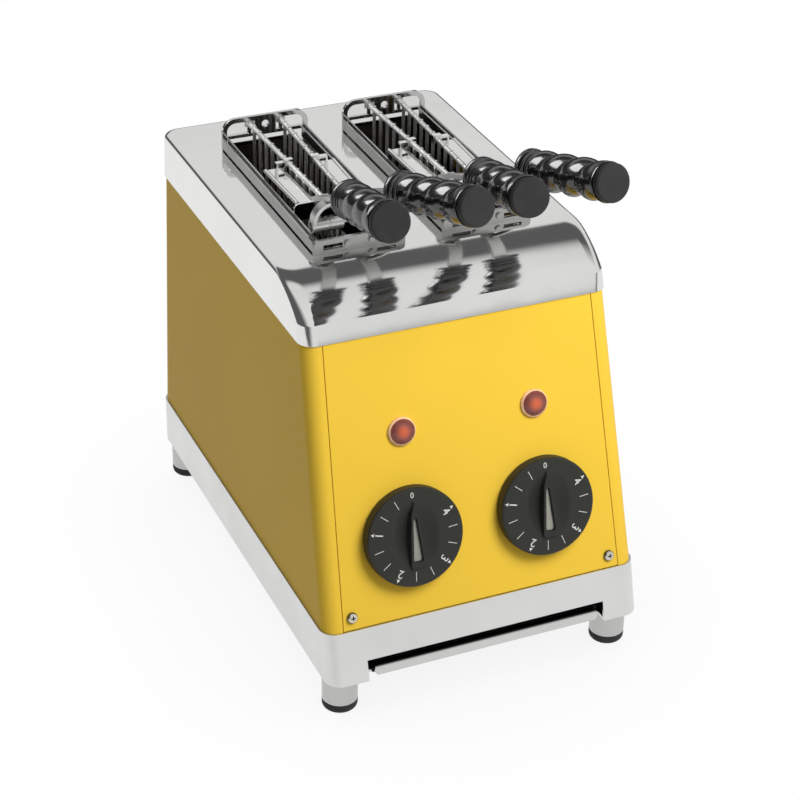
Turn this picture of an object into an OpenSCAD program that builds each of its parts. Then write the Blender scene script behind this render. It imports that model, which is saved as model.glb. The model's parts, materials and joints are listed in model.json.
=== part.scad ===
// Two-slot toaster with removable bread tongs, dial timers and a slide-out crumb tray.
// Millimetres, +Z up, the front faces -Y. The origin is on the floor below the middle of the whole box.

/* [Base] */
// Width of the base frame
base_w = 190; // [176:1:220]
// Depth of the base frame along its lower edge
base_d = 286; // [276:1:330]
// Height of the base frame
base_h = 29.4; // [26:0.2:40]
// Sheet thickness of the base frame
base_t = 1.5; // [1:0.1:2.5]
// Width of the base frame's top flange
base_flange = 12; // [8:0.5:16]
// Height of a leg with its rubber foot
leg_h = 24; // [16:1:40]
// Diameter of a leg
leg_d = 20; // [14:0.5:22]
// Distance from a leg's axis to the side of the base
leg_side = 12; // [11.5:0.5:14]
// Distance from a front leg's axis to the front edge of the base
leg_front = 16; // [14:0.5:30]
// Distance from a rear leg's axis to the rear of the base
leg_rear = 12; // [11.5:0.5:30]
// Height of a rubber foot
foot_h = 6; // [4:0.5:10]

/* [Body] */
// Height of the coloured panels between the base and the top cover
panel_h = 153.9; // [140:0.5:180]
// Lean of the front panel from upright, in degrees
front_lean = 15.8; // [8:0.2:18]
// Radius of the body's upright corners
corner_r = 9; // [6:0.5:12]
// Sheet thickness of the panels
sheet = 1; // [0.8:0.1:1.5]
// Step from the base's outer face in to the panels
body_inset = 1; // [0.8:0.1:2]
// Width of the side panels' fold beside the front and back panels
fold_w = 10.2; // [9:0.2:16]
// Gap at the seams of the front and back panels
seam = 0.4; // [0.3:0.1:0.8]
// Head diameter of the panel screws
screw_d = 6; // [4:0.5:8]
// Distance from a panel screw to the seam beside it
screw_side = 5.5; // [4:0.5:10]
// Height of the lower panel screws above the base, along the panel
screw_up = 7.7; // [5:0.1:14]

/* [Top cover] */
// Width of the top cover at its lower edge
cover_w = 179.4; // [172:0.2:189]
// Height of the top cover
cover_h = 26.6; // [24:0.2:34]
// Sheet thickness of the top cover
cover_t = 0.8; // [0.6:0.1:1]
// Height of the upright lip along the cover's lower edge
cover_lip = 10.1; // [8:0.1:14]
// Depth of the cover's flat top before its front curves down
cover_flat = 190; // [189:1:200]
// Radius of the cover's top edge
cover_edge_r = 3; // [2:0.2:5]
// Overlap of the panels inside the cover's lip
cover_lap = 6; // [3:0.5:8]

/* [Timers and lamps] */
// Distance between the axes of the two dials
knob_pitch = 79.3; // [70:0.5:90]
// Height of the dials above the base, along the panel
knob_up = 47.2; // [40:0.2:60]
// Diameter of a dial's skirt
knob_d = 56; // [46:1:62]
// Thickness of a dial at its rim
knob_rim = 7; // [6.4:0.2:8]
// Height of a dial over its ridge
knob_h = 8.4; // [8:0.2:12]
// Depth of the finger hollows beside a dial's ridge
scoop = 3.4; // [2:0.2:4]
// Gap between a dial and the front panel
knob_gap = 0.8; // [0.5:0.1:2]
// Diameter of a timer's shaft
shaft_d = 5; // [4:0.5:6]
// Width and height of a timer
timer_w = 44; // [36:1:50]
// Depth of a timer
timer_t = 34; // [24:1:38]
// Distance between the two lamps
lamp_pitch = 78.4; // [70:0.5:90]
// Height of the lamps above the base, along the panel
lamp_up = 105.2; // [95:0.2:120]
// Diameter of a lamp's bezel
lamp_d = 16; // [13:0.5:18]
// Width of the bezel's ring around a lamp's lens
lamp_ring = 1.1; // [0.8:0.1:2.4]
// Depth of a lamp behind the panel
lamp_t = 22; // [14:1:30]

/* [Crumb tray] */
// Width of the notch for the tray in the base's front
notch_w = 144; // [120:1:150]
// Height of the notch
notch_h = 11.5; // [10:0.5:14]
// Width of the crumb tray
tray_w = 137; // [112:1:140]
// Height of the crumb tray's walls
tray_h = 7.5; // [5:0.5:8]
// Sheet thickness of the crumb tray
tray_t = 1; // [0.8:0.1:1.5]
// Height of the tray's front lip
tray_lip = 6; // [4:0.5:7]
// Gap from the tray's rear to the back of the base
tray_rear = 16; // [14:1:40]
// Thickness of a tray runner
runner_t = 1.4; // [1:0.1:2]

/* [Heating] */
// Diameter of a quartz tube
tube_d = 10; // [8:0.5:12]
// Distance from the middle tubes to the outer tubes
tube_side = 68; // [66:0.5:70]
// Height of the lower tubes above the base frame
tube_low = 76; // [60:1:90]
// Height from the lower to the upper tubes
tube_step = 45; // [30:1:50]
// Diameter of a ceramic end cap
ceramic_d = 15; // [13:0.5:16]
// Length of a ceramic end cap inside its bulkhead
ceramic_l = 10; // [8:0.5:14]
// Thickness of the bulkheads
bulk_t = 1.2; // [1:0.1:2]
// Gap from the back panel to the rear bulkhead
bulk_rear = 28; // [24:1:32]
// Distance between the bulkheads
bulk_span = 160; // [156:1:162]
// Height of the reflectors
reflector_h = 105; // [90:1:110]

/* [Tongs] */
// Distance between the middles of the two tongs
tong_pitch = 75.5; // [74:0.5:78]
// Depth of the hinge plates behind the cover's rear edge
hinge_back = 41; // [40:0.5:44]
// Distance between the two hinge pins of a tong
hinge_pitch = 19.4; // [18.4:0.2:21]
// Diameter of a hinge pin
pin_d = 2.4; // [2:0.1:2.6]
// Half width of a tong's hinge plate
plate_half = 26.5; // [25.5:0.5:27]
// Height of a tong's hinge plate above the cover
plate_h = 18.6; // [17.6:0.2:24]
// Thickness of the tong plates
plate_t = 2; // [1.5:0.1:2.4]
// Distance from the hinge plate to the front plate
frame_len = 142; // [140:1:144]
// Height of the front plate above the cover
front_plate_h = 8; // [7.5:0.5:9]
// Width of a channel rail
rail_w = 4; // [3:0.5:4.5]
// Height of a channel rail
rail_h = 6; // [4:0.5:6.2]
// Gap below a channel rail
rail_gap = 1; // [0.5:0.1:2]
// Distance from the hinge pins to the cross plate
cross_back = 104.5; // [103:0.5:107]
// Height of the cross plate above the cover
cross_h = 11.6; // [10:0.2:11.8]
// Diameter of a grid's top and bottom rods
rod_d = 3; // [2.4:0.2:3.2]
// Height of the top rods above the cover
rod_up = 14; // [13.9:0.1:14.4]
// Inward slant of a grid towards the front, in degrees
grid_slant = 1.7; // [1.2:0.1:1.8]
// Height of a grid from its top rod to its bottom rod
grid_h = 118; // [100:1:130]
// Number of upright wires in a grid
wire_n = 11; // [7:1:12]
// Diameter of an upright wire
wire_d = 2; // [1.4:0.1:2.2]
// Distance from one upright wire to the next
wire_step = 9.2; // [6:0.1:9.2]
// Width of the flat wing beside a grid
wing_w = 10; // [8:0.5:10.5]
// Length of the wing
wing_l = 46; // [40:1:46]
// Thickness of the wing
wing_t = 1; // [0.8:0.1:1.4]
// Height of the wing above the cover
wing_up = 9.4; // [9.2:0.1:9.8]
// Diameter of a spring barrel
barrel_d = 7; // [6:0.2:7.2]
// Distance from the hinge pins forward to the spring barrels
barrel_fwd = 133; // [131:0.5:135]
// Width of a flat shank
shank_w = 8; // [7:0.5:9]
// Thickness of a flat shank
shank_t = 2.5; // [2:0.1:3]
// Distance from the hinge pins to the root of a shank
shank_root = 108; // [107:0.5:109]
// Distance from a tong's middle to the root of a shank
shank_root_out = 9; // [8.5:0.1:9.5]
// Distance from the hinge pins to a shank's end in the grip
shank_end = 165; // [162:0.5:167]
// Distance from a tong's middle to a shank's end
shank_end_out = 14.2; // [14:0.1:14.8]
// Rise of a shank from the top rod to the grip
shank_rise = 26; // [25:0.5:29]

/* [Grips] */
// Length of a grip with its end cap
grip_l = 78; // [68:0.5:78]
// Diameter of a grip over its spiral
grip_d = 21.6; // [19:0.2:22.4]
// Depth of the spiral groove
groove = 3.4; // [1:0.2:4]
// Number of turns of the spiral
grip_turns = 3; // [2:0.5:5]
// Diameter of an end cap
cap_d = 20.4; // [18:0.2:22]
// Thickness of an end cap
cap_t = 4.4; // [3:0.2:6]
// Rise of a grip towards its end, in degrees
grip_rise = 16.6; // [14:0.2:22]
// Outward splay of a grip, in degrees
grip_splay = 7; // [6.6:0.1:7.2]

/* [Back] */
// Distance from the cable gland to the side of the base
gland_edge = 39; // [33:1:50]
// Height of the cable gland above the base
gland_up = 22; // [18:1:40]
// Outside diameter of the cable gland's collar
gland_d = 18; // [14:0.5:22]
// Bore of the cable gland
gland_bore = 8; // [6:0.5:10]
// Reach of the cable gland behind the back panel
gland_out = 11; // [8:0.5:16]
// Number of vent slots in a column
vent_n = 7; // [4:1:8]
// Width of the terminal block
terminal_w = 34; // [28:1:40]
// Depth of the terminal block
terminal_d = 18; // [14:1:22]
// Height of the terminal block
terminal_h = 16; // [12:1:20]

/* [Hidden] */
$fn = 48;
left = -1;
right = 1;
outer = 1;
inner = -1;
// Thickness of the slices that a loft is stretched over
slice = 0.01;
// Depth by which a cut runs past the face that it opens
past = 1;
// Clearance between seated pieces and of the shafts in their bores
seat_gap = 0.3;
fit_gap = 0.1;
bronze = "goldenrod";
steel = "silver";
polish = "gainsboro";
black = [0.1, 0.1, 0.1];

// Dial and lamp: depth of the pointer below the ridge, its thickness, the shaft's reach, the lens diameter
inlay_deep = 1.8;
inlay_t = 1;
shaft_in = 4.4;
lens_d = lamp_d - 2 * lamp_ring;

// Levels above the floor
z_base = leg_h;
z_body = z_base + base_h;
z_skirt = z_body + panel_h;
z_crease = z_skirt + cover_lip;
z_panel_top = z_skirt + cover_lap;
z_lid = z_skirt + cover_h;
// Places along Y in the toaster's own depth, with its rear at 0
box_mid = (base_d - gland_out + body_inset) / 2;
lip_front = -front_at(z_crease);
curve_drop = z_lid - z_crease;
curve_run = lip_front - cover_flat;
curve_r = (curve_run * curve_run + curve_drop * curve_drop) / (2 * curve_drop);
curve_end = asin(curve_run / curve_r);
curve_steps = 9;
// Faces of the front panel, measured outward from the plane of the base's front
panel_face = -body_inset * cos(front_lean);
panel_back = panel_face - sheet;
y_bulk_rear = -body_inset - sheet - bulk_rear;
y_bulk_front = y_bulk_rear - bulk_span;
y_hinge = -hinge_back;
gland_side = base_w / 2 - gland_edge;
y_plate_front = y_hinge - plate_t / 2;
y_front_plate = y_plate_front - frame_len;
rail_in = plate_half - rail_w;
slot_half = rail_in - 0.5;
slot_front = y_front_plate + 4;
slot_rear = y_hinge + 7;
slot_l = slot_rear - slot_front;
slot_mid = (slot_rear + slot_front) / 2;
rod_z = z_lid + rod_up;
eye_d = pin_d + 3;
eye_h = 3;
first_wire = 8;
// Gap from a wing to the cross plate in front of it
wing_gap = 2.5;
rod_l = cross_back + 10;
barrel_z = z_lid + rail_gap + rail_h + barrel_d / 2 + 0.5;
barrel_in = 5.5;
barrel_out = 23.5;
barrel_bore = barrel_d - 1.4;
spring_rod_d = 2;
spring_rod_l = 21;
bow_r = 11.5;
bow_t = 2;
bow_w = 6;
bow_mid = [11.5, barrel_z + 2.4];
shank_from = [shank_root_out, y_hinge - shank_root, rod_z + 0.5];
shank_to = [shank_end_out, y_hinge - shank_end, rod_z + shank_rise];
tang_d = 6;
tang_l = 22;
collar_l = 14;
rim_l = 4;
spiral_l = grip_l - cap_t - rim_l - collar_l;

function half_at(z) = base_w / 2 - (z - z_body) * (base_w - cover_w) / (2 * panel_h);
function front_at(z) = -base_d + (z - z_base) * tan(front_lean);
function up_panel(z) = (z - z_body) / cos(front_lean);
function cover_front(z) = z <= z_crease ? front_at(z)
    : -cover_flat - sqrt(max(0, curve_r * curve_r - pow(z - z_lid + curve_r, 2)));
function edge_step(z) = z <= z_lid - cover_edge_r ? 0
    : cover_edge_r - sqrt(max(0, cover_edge_r * cover_edge_r - pow(z - z_lid + cover_edge_r, 2)));
function curve_level(i, n) = z_lid - curve_r * (1 - cos(curve_end * (1 - i / n)));

// Shared shapes

module placed() {
    translate([0, box_mid, 0]) children();
}

// One thin rounded rectangle of a loft, from the front y0 to the rear y1
module plan_slice(z, half, y0, y1, r) {
    for (x = [-half + r, half - r])
        for (y = [y0 + r, y1 - r])
            translate([x, y, z]) cylinder(r = r, h = slice);
}

// Solid between two levels of the base: upright sides and back, leaning front, rounded corners
module base_solid(inset, z0, z1) {
    r = corner_r - inset / 2;
    half = base_w / 2 - inset;
    tall = z1 - z0;
    lean_r = r / cos(front_lean);
    intersection() {
        translate([-base_w, -2 * base_d, z0]) cube([2 * base_w, 3 * base_d, tall]);
        union() {
            base_prism(half - r, inset, inset, z0, z1);
            base_prism(half, inset + lean_r, inset + r, z0, z1);
            for (x = [-half + r, half - r]) {
                translate([x, -inset - r, z0 - past]) cylinder(r = r, h = tall + 2 * past);
                translate([x, front_at(z0) + inset + lean_r, z0]) rotate([-front_lean, 0, 0])
                    translate([0, 0, -10]) cylinder(r = r, h = tall + 20);
            }
        }
    }
}

// Straight bar across the base with a leaning front, the front and rear drawn in by two steps
module base_prism(half, front_step, rear_step, z0, z1) {
    low = z0 - past;
    high = z1 + past;
    translate([-half, 0, 0]) rotate([90, 0, 90]) linear_extrude(2 * half)
        polygon([[front_at(low) + front_step, low], [-rear_step, low], [-rear_step, high],
            [front_at(high) + front_step, high]]);
}

// Solid between two levels of the body, whose sides lean in
module body_loft(inset, z0, z1) {
    hull()
        for (z = [z0, z1 - slice])
            plan_slice(z, half_at(z) - inset, front_at(z) + inset, -inset, corner_r - inset / 2);
}

// Solid of the top cover, or of the space inside it
module cover_loft(inset, z0, steps) {
    levels = concat([z0, z_crease], [for (i = [1 : steps]) curve_level(i, steps)]);
    hull()
        for (z = levels) {
            step = inset + edge_step(z);
            plan_slice(z > z_crease ? z - inset - slice : z, half_at(min(z, z_lid)) - step,
                cover_front(z) + inset, -step, corner_r - step / 2);
        }
}

// Local x across, y up along the front panel, z outward from the plane of the base's front
module on_front() {
    translate([0, front_at(z_body), z_body]) rotate([90 - front_lean, 0, 0]) children();
}

// Local x across, y up, z backward out of the back panel
module on_back() {
    translate([0, -body_inset, z_body]) rotate([90, 0, 180]) children();
}

// Upright plate in the XZ plane, from y back to y - t, drawn with x across and y up from the level z
module upright(y, z, t) {
    translate([0, y, z]) rotate([90, 0, 0]) linear_extrude(t) children();
}

module pan_head(d) {
    rotate_extrude() {
        square([d / 2, d / 6]);
        intersection() {
            translate([0, d / 6 + d / 4 - d * 0.55]) circle(d * 0.55);
            translate([0, d / 6]) square([d / 2, d / 4]);
        }
    }
}

// Base and tray

module base_frame() {
    rear_strip = leg_rear + leg_d / 2;
    tray_open = tray_w - 5;
    color(steel) difference() {
        base_solid(0, z_base, z_body);
        base_solid(base_t, z_base + base_t, z_body - base_t);
        base_solid(base_t + base_flange, z_body - 2 * base_t, z_body + past);
        translate([-tray_open / 2, -base_d - past, z_base - past])
            cube([tray_open, base_d + past - rear_strip, base_t + 2 * past]);
        translate([-notch_w / 2, -base_d - past, z_base - past])
            cube([notch_w, base_t + past + 6, notch_h + past]);
    }
}

module at_legs() {
    for (x = [-1, 1] * (base_w / 2 - leg_side))
        for (y = [-base_d + leg_front, -leg_rear])
            translate([x, y, 0]) children();
}

module legs() {
    color(steel) at_legs() translate([0, 0, foot_h]) cylinder(d = leg_d, h = leg_h - foot_h);
}

module rubber_feet() {
    round_r = foot_h * 0.45;
    color(black) at_legs() rotate_extrude() {
        square([leg_d / 2 - round_r, foot_h]);
        translate([0, round_r]) square([leg_d / 2, foot_h - round_r]);
        translate([leg_d / 2 - round_r, round_r]) circle(round_r);
    }
}

module tray_runners() {
    color(steel)
        for (s = [-1, 1])
            translate([s * (tray_w / 2 + seat_gap + runner_t / 2) - runner_t / 2,
                -base_d + 20, z_base + base_t])
                cube([runner_t, base_d - 20 - tray_rear - 4, tray_h - 1]);
}

module crumb_tray() {
    bottom = z_base + base_t + seat_gap;
    web_front = front_at(bottom) + 1;
    tray_front = web_front + 3;
    length = -tray_rear - tray_front;
    lip_t = 1.4;
    color(steel) {
        difference() {
            translate([-tray_w / 2, tray_front, bottom]) cube([tray_w, length, tray_h]);
            translate([-tray_w / 2 + tray_t, tray_front + tray_t, bottom + tray_t])
                cube([tray_w - 2 * tray_t, length - 2 * tray_t, tray_h]);
        }
        translate([-tray_w / 2 + 2, web_front, bottom]) cube([tray_w - 4, 3.5, tray_t]);
        on_front() translate([0, up_panel(bottom) + seat_gap, -lip_t - seat_gap]) linear_extrude(lip_t)
            polygon([[-tray_w / 2 + 2, 0], [tray_w / 2 - 2, 0], [tray_w / 2, 2],
                [tray_w / 2 - 1, tray_lip], [-tray_w / 2 + 1, tray_lip], [-tray_w / 2, 2]]);
    }
}

// Body panels

module side_panel(side) {
    levels = [z_body - past, z_panel_top + past];
    color(bronze) mirror([side > 0 ? 1 : 0, 0, 0]) difference() {
        body_loft(body_inset, z_body, z_panel_top);
        body_loft(body_inset + sheet, z_body - past, z_panel_top + past);
        hull()
            for (z = levels)
                translate([-half_at(z) + body_inset + fold_w, -base_d - past, z])
                    cube([base_w + past, base_d + 2 * past, slice]);
    }
}

// Flat outline of the front or back panel, scaled up the slope by the lean. The rear of a leaning sheet's
// lower edge rests on the base.
module panel_outline(lean) {
    low = half_at(z_body) - body_inset - fold_w - seam;
    top = half_at(z_panel_top) - body_inset - fold_w - seam;
    foot = -panel_back * tan(lean);
    height = (z_panel_top - z_body) / cos(lean);
    polygon([[-low, foot], [low, foot], [top, height], [-top, height]]);
}

module at_front_screws() {
    for (s = [-1, 1])
        translate([s * (half_at(z_body) - body_inset - fold_w - seam - screw_side), screw_up, panel_face])
            children();
}

module at_knobs(sides) {
    for (s = sides)
        translate([s * knob_pitch / 2, knob_up, panel_face]) children();
}

module at_lamps() {
    for (s = [-1, 1])
        translate([s * lamp_pitch / 2, lamp_up, panel_face]) children();
}

module front_panel() {
    color(bronze) on_front() difference() {
        translate([0, 0, panel_back]) linear_extrude(sheet) panel_outline(front_lean);
        at_knobs([-1, 1]) translate([0, 0, -sheet - past]) cylinder(d = shaft_d + 3, h = sheet + 2 * past);
        at_lamps() translate([0, 0, -sheet - past]) cylinder(d = lens_d + 0.6, h = sheet + 2 * past);
        at_front_screws() translate([0, 0, -sheet - past])
            cylinder(d = screw_d / 2 + fit_gap, h = sheet + 2 * past);
    }
}

module front_screws() {
    color(steel) on_front() at_front_screws() {
        pan_head(screw_d);
        translate([0, 0, -6]) cylinder(d = screw_d / 2 - fit_gap, h = 6);
    }
}

module at_back_screws() {
    for (s = [-1, 1])
        for (z = [z_body + screw_up, z_skirt - screw_up])
            translate([s * (half_at(z) - body_inset - fold_w - seam - screw_side), z - z_body, 0]) children();
}

module at_gland() {
    translate([gland_side, gland_up, 0]) children();
}

module back_panel() {
    vent_w = 38;
    vent_t = 4;
    vent_step = 10;
    vent_low = 64;
    color(bronze) on_back() difference() {
        translate([0, 0, -sheet]) linear_extrude(sheet) panel_outline(0);
        for (s = [-1, 1])
            for (i = [0 : vent_n - 1])
                translate([s * vent_w * 0.7, vent_low + i * vent_step, -sheet - past])
                    linear_extrude(sheet + 2 * past) {
                        square([vent_w - vent_t, vent_t], center = true);
                        for (e = [-1, 1])
                            translate([e * (vent_w - vent_t) / 2, 0]) circle(d = vent_t);
                    }
        at_gland() translate([0, 0, -sheet - past])
            cylinder(d = gland_d - 4 + 2 * fit_gap, h = sheet + 2 * past);
        at_back_screws() translate([0, 0, -sheet - past])
            cylinder(d = screw_d / 2 + fit_gap, h = sheet + 2 * past);
    }
}

module back_screws() {
    color(steel) on_back() at_back_screws() {
        pan_head(screw_d);
        translate([0, 0, -6]) cylinder(d = screw_d / 2 - fit_gap, h = 6);
    }
}

module top_cover() {
    slot_r = 4;
    color(polish) difference() {
        cover_loft(0, z_skirt, curve_steps);
        cover_loft(cover_t, z_skirt - past, 5);
        for (s = [-1, 1])
            translate([s * tong_pitch / 2, slot_mid, z_lid - cover_edge_r])
            linear_extrude(cover_edge_r + past) {
                square([2 * slot_half, slot_l - 2 * slot_r], center = true);
                square([2 * (slot_half - slot_r), slot_l], center = true);
                for (x = [-1, 1])
                    for (y = [-1, 1])
                        translate([x * (slot_half - slot_r), y * (slot_l / 2 - slot_r)]) circle(slot_r);
            }
    }
}

// Heating

module at_tubes() {
    for (x = [-1, 0, 1])
        for (i = [0, 1])
            translate([x * tube_side, 0, z_body + tube_low + i * tube_step]) children();
}

module bulkhead(y) {
    top = z_lid - cover_edge_r - cover_t;
    spigot = ceramic_d - 5 + 2 * fit_gap;
    color(steel) difference() {
        upright(y, z_body, bulk_t) {
            low = half_at(z_body) - body_inset - sheet - seat_gap;
            high = half_at(top) - cover_t - body_inset - sheet - seat_gap;
            polygon([[-low, 0], [low, 0], [high, top - z_body], [-high, top - z_body]]);
        }
        at_tubes() translate([0, y + past, 0]) rotate([90, 0, 0]) cylinder(d = spigot, h = bulk_t + 2 * past);
    }
}

module front_bulkhead() {
    bulkhead(y_bulk_front + bulk_t);
}

module rear_bulkhead() {
    bulkhead(y_bulk_rear);
}

// Clear faces between the two bulkheads
hot_rear = y_bulk_rear - bulk_t;
hot_front = y_bulk_front + bulk_t;

module reflector(side) {
    offset_x = tube_side + tube_d / 2 + 4;
    color(polish) translate([side * (offset_x + 0.4) - 0.4, hot_front, z_body + tube_low - 30])
        cube([0.8, hot_rear - hot_front, reflector_h]);
}

module quartz_tubes() {
    depth = ceramic_l - 5;
    color("whitesmoke") at_tubes() translate([0, hot_rear - depth, 0]) rotate([90, 0, 0]) difference() {
        cylinder(d = tube_d, h = hot_rear - hot_front - 2 * depth);
        translate([0, 0, -past]) cylinder(d = tube_d - 2.4, h = hot_rear - hot_front + past);
    }
}

module ceramic_caps() {
    color("ivory") at_tubes()
        for (end = [0, 1])
            translate([0, end == 0 ? hot_rear : hot_front, 0])
            rotate([end == 0 ? 90 : -90, 0, 0]) difference() {
                union() {
                    cylinder(d = ceramic_d, h = ceramic_l);
                    translate([0, 0, -bulk_t - 6]) cylinder(d = ceramic_d - 5, h = bulk_t + 6 + past);
                }
                translate([0, 0, ceramic_l - 5]) cylinder(d = tube_d + 2 * fit_gap, h = 5 + past);
            }
}

// Timers, dials and lamps

module timers() {
    color("dimgray") on_front() at_knobs([-1, 1]) difference() {
        translate([-timer_w / 2, -timer_w / 2, -sheet - timer_t]) cube([timer_w, timer_w, timer_t]);
        translate([0, 0, -sheet - 16]) cylinder(d = shaft_d + 2 * fit_gap, h = 16 + past);
    }
}

module timer_shaft(side) {
    color(steel) on_front() at_knobs([side])
        translate([0, 0, -sheet - 15]) cylinder(d = shaft_d, h = sheet + 15 + knob_gap + shaft_in);
}

// Outline of a dial's ridge, pointed at the top
module ridge_outline() {
    polygon([[0, 20.5], [2.4, 13], [3.7, 0], [4.8, -15], [4.2, -17.5], [-4.2, -17.5], [-4.8, -15], [-3.7, 0],
        [-2.4, 13]]);
}

// Outline of the pointer let into the ridge, drawn in by a step
module pointer_outline(step) {
    polygon([[0.8 - step, 10.9 - step], [2.6 - step, -11.8], [2.3 - step, -12.9], [1.6 - step, -13.6 + step],
        [-1.6 + step, -13.6 + step], [-2.3 + step, -12.9], [-2.6 + step, -11.8], [-0.8 + step, 10.9 - step]]);
}

// Finger hollow on the right of a dial's ridge, deepest along the ridge
module finger_hollow() {
    steps = 14;
    hull() {
        translate([0, 0, knob_rim]) linear_extrude(past)
            polygon([for (i = [0 : steps])
                [1 + 3.9 * i / steps + 10.6 * sin(180 * i / steps), 1 + 18.5 * cos(180 * i / steps)]]);
        translate([0, 0, knob_rim - scoop]) linear_extrude(1)
            polygon([[3.2, 10], [4.2, 8], [5.4, -10], [4.8, -13], [3.8, 0]]);
    }
}

module knob(side) {
    color([0.2, 0.2, 0.19]) on_front() at_knobs([side]) translate([0, 0, knob_gap]) difference() {
        union() {
            difference() {
                rotate_extrude() polygon([[0, 0], [knob_d / 2 - 0.6, 0], [knob_d / 2, 0.6],
                    [knob_d / 2, knob_rim - 1.2], [knob_d / 2 - 1.2, knob_rim], [0, knob_rim]]);
                finger_hollow();
                mirror([1, 0, 0]) finger_hollow();
            }
            linear_extrude(knob_h) ridge_outline();
        }
        translate([0, 0, -past]) cylinder(d = shaft_d + 2 * fit_gap, h = shaft_in + 0.2 + past);
        translate([0, 0, knob_h - inlay_deep - inlay_t]) linear_extrude(inlay_deep + inlay_t + past)
            pointer_outline(0);
    }
}

module knob_pointer(side) {
    color("darkgray") on_front() at_knobs([side]) translate([0, 0, knob_gap + knob_h - inlay_deep - inlay_t])
        linear_extrude(inlay_t) pointer_outline(0.1);
}

module lamp_bezels() {
    color("wheat") on_front() at_lamps() rotate_extrude() polygon([[0, -lamp_t], [lens_d / 2, -lamp_t],
        [lens_d / 2 + 0.2, -lamp_t + 1], [lens_d / 2 + 0.2, 0], [lamp_d / 2, 0], [lamp_d / 2, 1.2],
        [lamp_d / 2 - lamp_ring + 0.4, 1.9], [lens_d / 2 + fit_gap, 1.9],
        [lens_d / 2 + fit_gap, 0.4], [0, 0.4]]);
}

module lamp_lenses() {
    dome_r = lens_d * 0.9;
    color("orangered") on_front() at_lamps() translate([0, 0, 0.4]) rotate_extrude() {
        square([lens_d / 2, 1.6]);
        intersection() {
            translate([0, 1.6 - sqrt(dome_r * dome_r - lens_d * lens_d / 4)]) circle(dome_r);
            translate([0, 1.6]) square([lens_d / 2, lens_d]);
        }
    }
}

// Wiring

module terminal_block() {
    size = [terminal_w, terminal_d, terminal_h];
    color("ivory") translate([-gland_side + 26, -body_inset - sheet - size[1],
        z_body + gland_up - size[2] / 2])
        difference() {
            cube(size);
            for (i = [0 : 2])
                translate([7 + i * 10, size[1] / 2, size[2] / 2]) cylinder(d = 5, h = size[2]);
        }
}

module cable_gland() {
    shank = gland_d - 4;
    nut_t = 4;
    color(black) on_back() at_gland() difference() {
        union() {
            translate([0, 0, -sheet - nut_t - 4]) cylinder(d = shank, h = sheet + nut_t + 4 + past);
            translate([0, 0, -sheet - nut_t]) cylinder(d = gland_d + 2, h = nut_t, $fn = 6);
            cylinder(d = gland_d, h = 5);
            translate([0, 0, 5]) cylinder(d1 = gland_d, d2 = shank, h = gland_out - 5);
        }
        translate([0, 0, -sheet - nut_t - 4 - past])
            cylinder(d = gland_bore, h = gland_out + sheet + nut_t + 4 + 2 * past);
    }
}

// Tongs

// Local x runs outward from the tong's middle plane
module at_tong(side) {
    translate([side * tong_pitch / 2, 0, 0]) mirror([side < 0 ? 1 : 0, 0, 0]) children();
}

// One half of a tong, drawn on the side of positive local x
module at_half(side, half) {
    at_tong(side) mirror([half < 0 ? 1 : 0, 0, 0]) children();
}

// Frame of a half's grid: origin on the hinge axis at the rod's level, -Y along the slanted rod
module on_grid() {
    translate([hinge_pitch / 2, y_hinge, rod_z]) rotate([0, 0, -grid_slant]) children();
}

module rounded_top(half, height, r) {
    square([2 * (half - r), 2 * height], center = true);
    square([2 * half, 2 * (height - r)], center = true);
    for (s = [-1, 1])
        translate([s * (half - r), height - r]) circle(r);
}

module above_floor(width, height) {
    intersection() {
        children();
        translate([-width, 0]) square([2 * width, height]);
    }
}

module tong_hinge_plate(side) {
    corner = 8;
    strip = 2.8;
    sill = 6.3;
    sill_t = 2;
    web_half = hinge_pitch / 2 - eye_d / 2 - 0.5;
    pin_low = sill + sill_t / 2;
    color(steel) at_tong(side) {
        upright(y_hinge + plate_t / 2, z_lid, plate_t) difference() {
            above_floor(2 * plate_half, 2 * plate_h) rounded_top(plate_half, plate_h, corner);
            translate([-plate_half + strip, -past]) square([2 * (plate_half - strip), sill + past]);
            for (s = [0, 1])
                mirror([s, 0]) intersection() {
                    rounded_top(plate_half - strip, plate_h - strip, corner - strip);
                    translate([web_half, sill + sill_t]) square([plate_half, plate_h]);
                }
            translate([0, rod_up - 1]) circle(d = 4.4);
        }
        for (s = [-1, 1])
            translate([s * hinge_pitch / 2, y_hinge, z_lid + pin_low])
                cylinder(d = pin_d, h = plate_h - strip / 2 - pin_low);
    }
}

module tong_rails(side) {
    wall = 1;
    color(steel) at_tong(side)
        for (s = [-1, 1])
            translate([s * (plate_half - rail_w / 2), 0, 0])
                upright(y_plate_front, z_lid + rail_gap, frame_len)
                difference() {
                    translate([-rail_w / 2, 0]) square([rail_w, rail_h]);
                    translate([-rail_w / 2 + wall, rail_h - 4]) square([rail_w - 2 * wall, 4 + past]);
                }
}

module tong_front_plate(side) {
    corner = 3;
    color(steel) at_tong(side) upright(y_front_plate, z_lid, plate_t) difference() {
        above_floor(2 * plate_half, 2 * front_plate_h) rounded_top(plate_half, front_plate_h, corner);
        for (s = [-1, 1])
            translate([s * (plate_half - 11), front_plate_h / 2 - 0.5])
                square([11, front_plate_h - 5], center = true);
    }
    color(steel) at_tong(side)
        for (s = [-1, 1])
            translate([s * (plate_half - 19.5), y_front_plate, z_lid + front_plate_h / 2]) rotate([90, 0, 0])
                cylinder(d = 4, h = plate_t + 1.2);
}

module tong_cross_plate(side) {
    corner = 3;
    low = rail_gap + 0.8;
    color(polish) at_tong(side) upright(y_hinge - cross_back, z_lid, 1.5)
        intersection() {
            rounded_top(rail_in, cross_h, corner);
            translate([-rail_in, low]) square([2 * rail_in, cross_h]);
        }
}

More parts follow.
